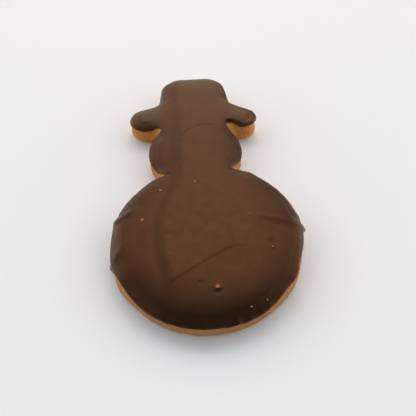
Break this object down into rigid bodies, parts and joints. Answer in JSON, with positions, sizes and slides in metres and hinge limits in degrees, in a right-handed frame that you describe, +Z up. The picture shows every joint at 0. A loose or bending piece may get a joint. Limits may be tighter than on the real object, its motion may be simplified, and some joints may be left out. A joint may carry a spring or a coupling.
{
  "type": "gingerbread snowman",
  "caption": "Flat gingerbread biscuit cut as a snowman in a brimmed hat, its top and upper side coated in set milk chocolate.",
  "frame": {"origin": "middle of the bounding box at the height of the flat baked underside", "axes": "+Y from the round body towards the hat, +X to the right when looking down on the chocolate with the hat away from the viewer, +Z up through the chocolate"},
  "size_m": [0.0618, 0.113, 0.0094],
  "materials": {
    "gingerbread": "dry baked crumb, matte",
    "chocolate": "set milk chocolate, satin"
  },
  "bodies": {
    "root": {"gingerbread": "gingerbread", "chocolate_coat": "chocolate"}
  },
  "joints": []
}
